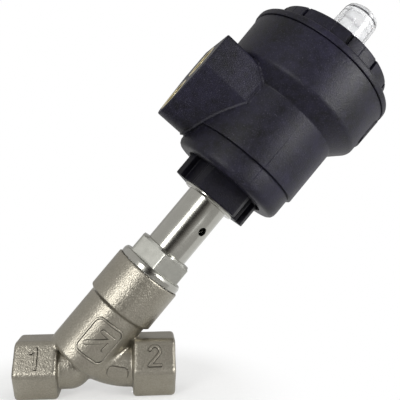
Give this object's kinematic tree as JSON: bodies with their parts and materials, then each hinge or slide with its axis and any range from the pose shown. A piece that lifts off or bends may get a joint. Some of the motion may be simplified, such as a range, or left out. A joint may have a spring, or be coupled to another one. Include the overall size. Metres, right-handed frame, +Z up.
{
  "type": "angle seat valve",
  "caption": "Angle seat valve: threaded stainless body with an inclined bonnet and stem, a black plastic piston actuator with air ports, and a clear indicator cap.",
  "frame": {"origin": "centre of port A's mouth, on the pipe axis", "axes": "+X along the pipe to port B, +Z up; the stem leans 50 degrees from +X towards +Z in the XZ plane"},
  "size_m": [0.1617, 0.072, 0.1748],
  "materials": {
    "cast_stainless": "precision-cast stainless steel, glass-bead blasted, satin and warm grey",
    "machined_stainless": "machined stainless steel with fine turning marks",
    "polished_stainless": "drawn and polished stainless steel",
    "spring_steel": "spring steel wire and strip",
    "black_nylon": "black glass-filled polyamide with a fine moulded grain",
    "piston_plastic": "dark grey glass-filled polyamide",
    "brass": "nickel-free turned brass insert",
    "ptfe": "waxy white PTFE",
    "rubber": "black moulded seal rubber",
    "clear_plastic": "clear moulded polycarbonate",
    "indicator_red": "glossy red moulded plastic"
  },
  "bodies": {
    "valve": {"valve_body": "cast_stainless", "body_gasket": "ptfe", "bonnet": "machined_stainless", "spindle_tube": "polished_stainless", "lower_guide": "ptfe", "packing_springs": "spring_steel", "packing_rings": "ptfe", "gland_ring": "machined_stainless", "upper_guide": "ptfe", "stem_seal": "rubber", "base_nut": "black_nylon", "base_o_ring": "rubber", "housing_clip": "spring_steel"},
    "stem": {"seat_seal": "ptfe", "valve_plate": "machined_stainless", "plate_retainer": "machined_stainless", "spindle": "polished_stainless", "plate_pin": "spring_steel", "piston": "piston_plastic", "piston_lip_seal": "rubber", "piston_guide_ring": "ptfe", "stem_o_ring": "rubber", "spring_cup": "spring_steel", "piston_nut": "machined_stainless", "position_indicator": "indicator_red"},
    "actuator": {"actuator_housing": "black_nylon", "low_port_insert": "brass", "high_port_insert": "brass", "actuator_cover": "black_nylon", "cover_o_ring": "rubber", "outer_spring": "spring_steel", "inner_spring": "spring_steel"},
    "cap_seal": {"cap_o_ring": "rubber"},
    "cap": {"clear_cap": "clear_plastic"}
  },
  "joints": [
    {"name": "stem_stroke", "type": "slide", "parent": "valve", "child": "stem", "axis": [0.6428, 0, 0.766], "range_m": [0, 0.008], "stiffness_N_per_m": 6000, "springref_m": -0.002, "deforming": ["outer_spring", "inner_spring"]},
    {"name": "actuator_turn", "type": "hinge", "parent": "valve", "child": "actuator", "pos_m": [0.0225, 0, 0], "axis": [0.6428, 0, 0.766], "continuous": true},
    {"name": "cap_lift", "type": "slide", "parent": "actuator", "child": "cap_seal", "axis": [0.6428, 0, 0.766], "range_m": [0, 0.0075]},
    {"name": "cap_turn", "type": "hinge", "parent": "cap_seal", "child": "cap", "pos_m": [0.0225, 0, 0], "axis": [0.6428, 0, 0.766], "range_deg": [0, 1800]}
  ],
  "couplings": [
    {"joint": "cap_lift", "follows": "cap_turn", "m_per_rad": 0.00023873}
  ]
}
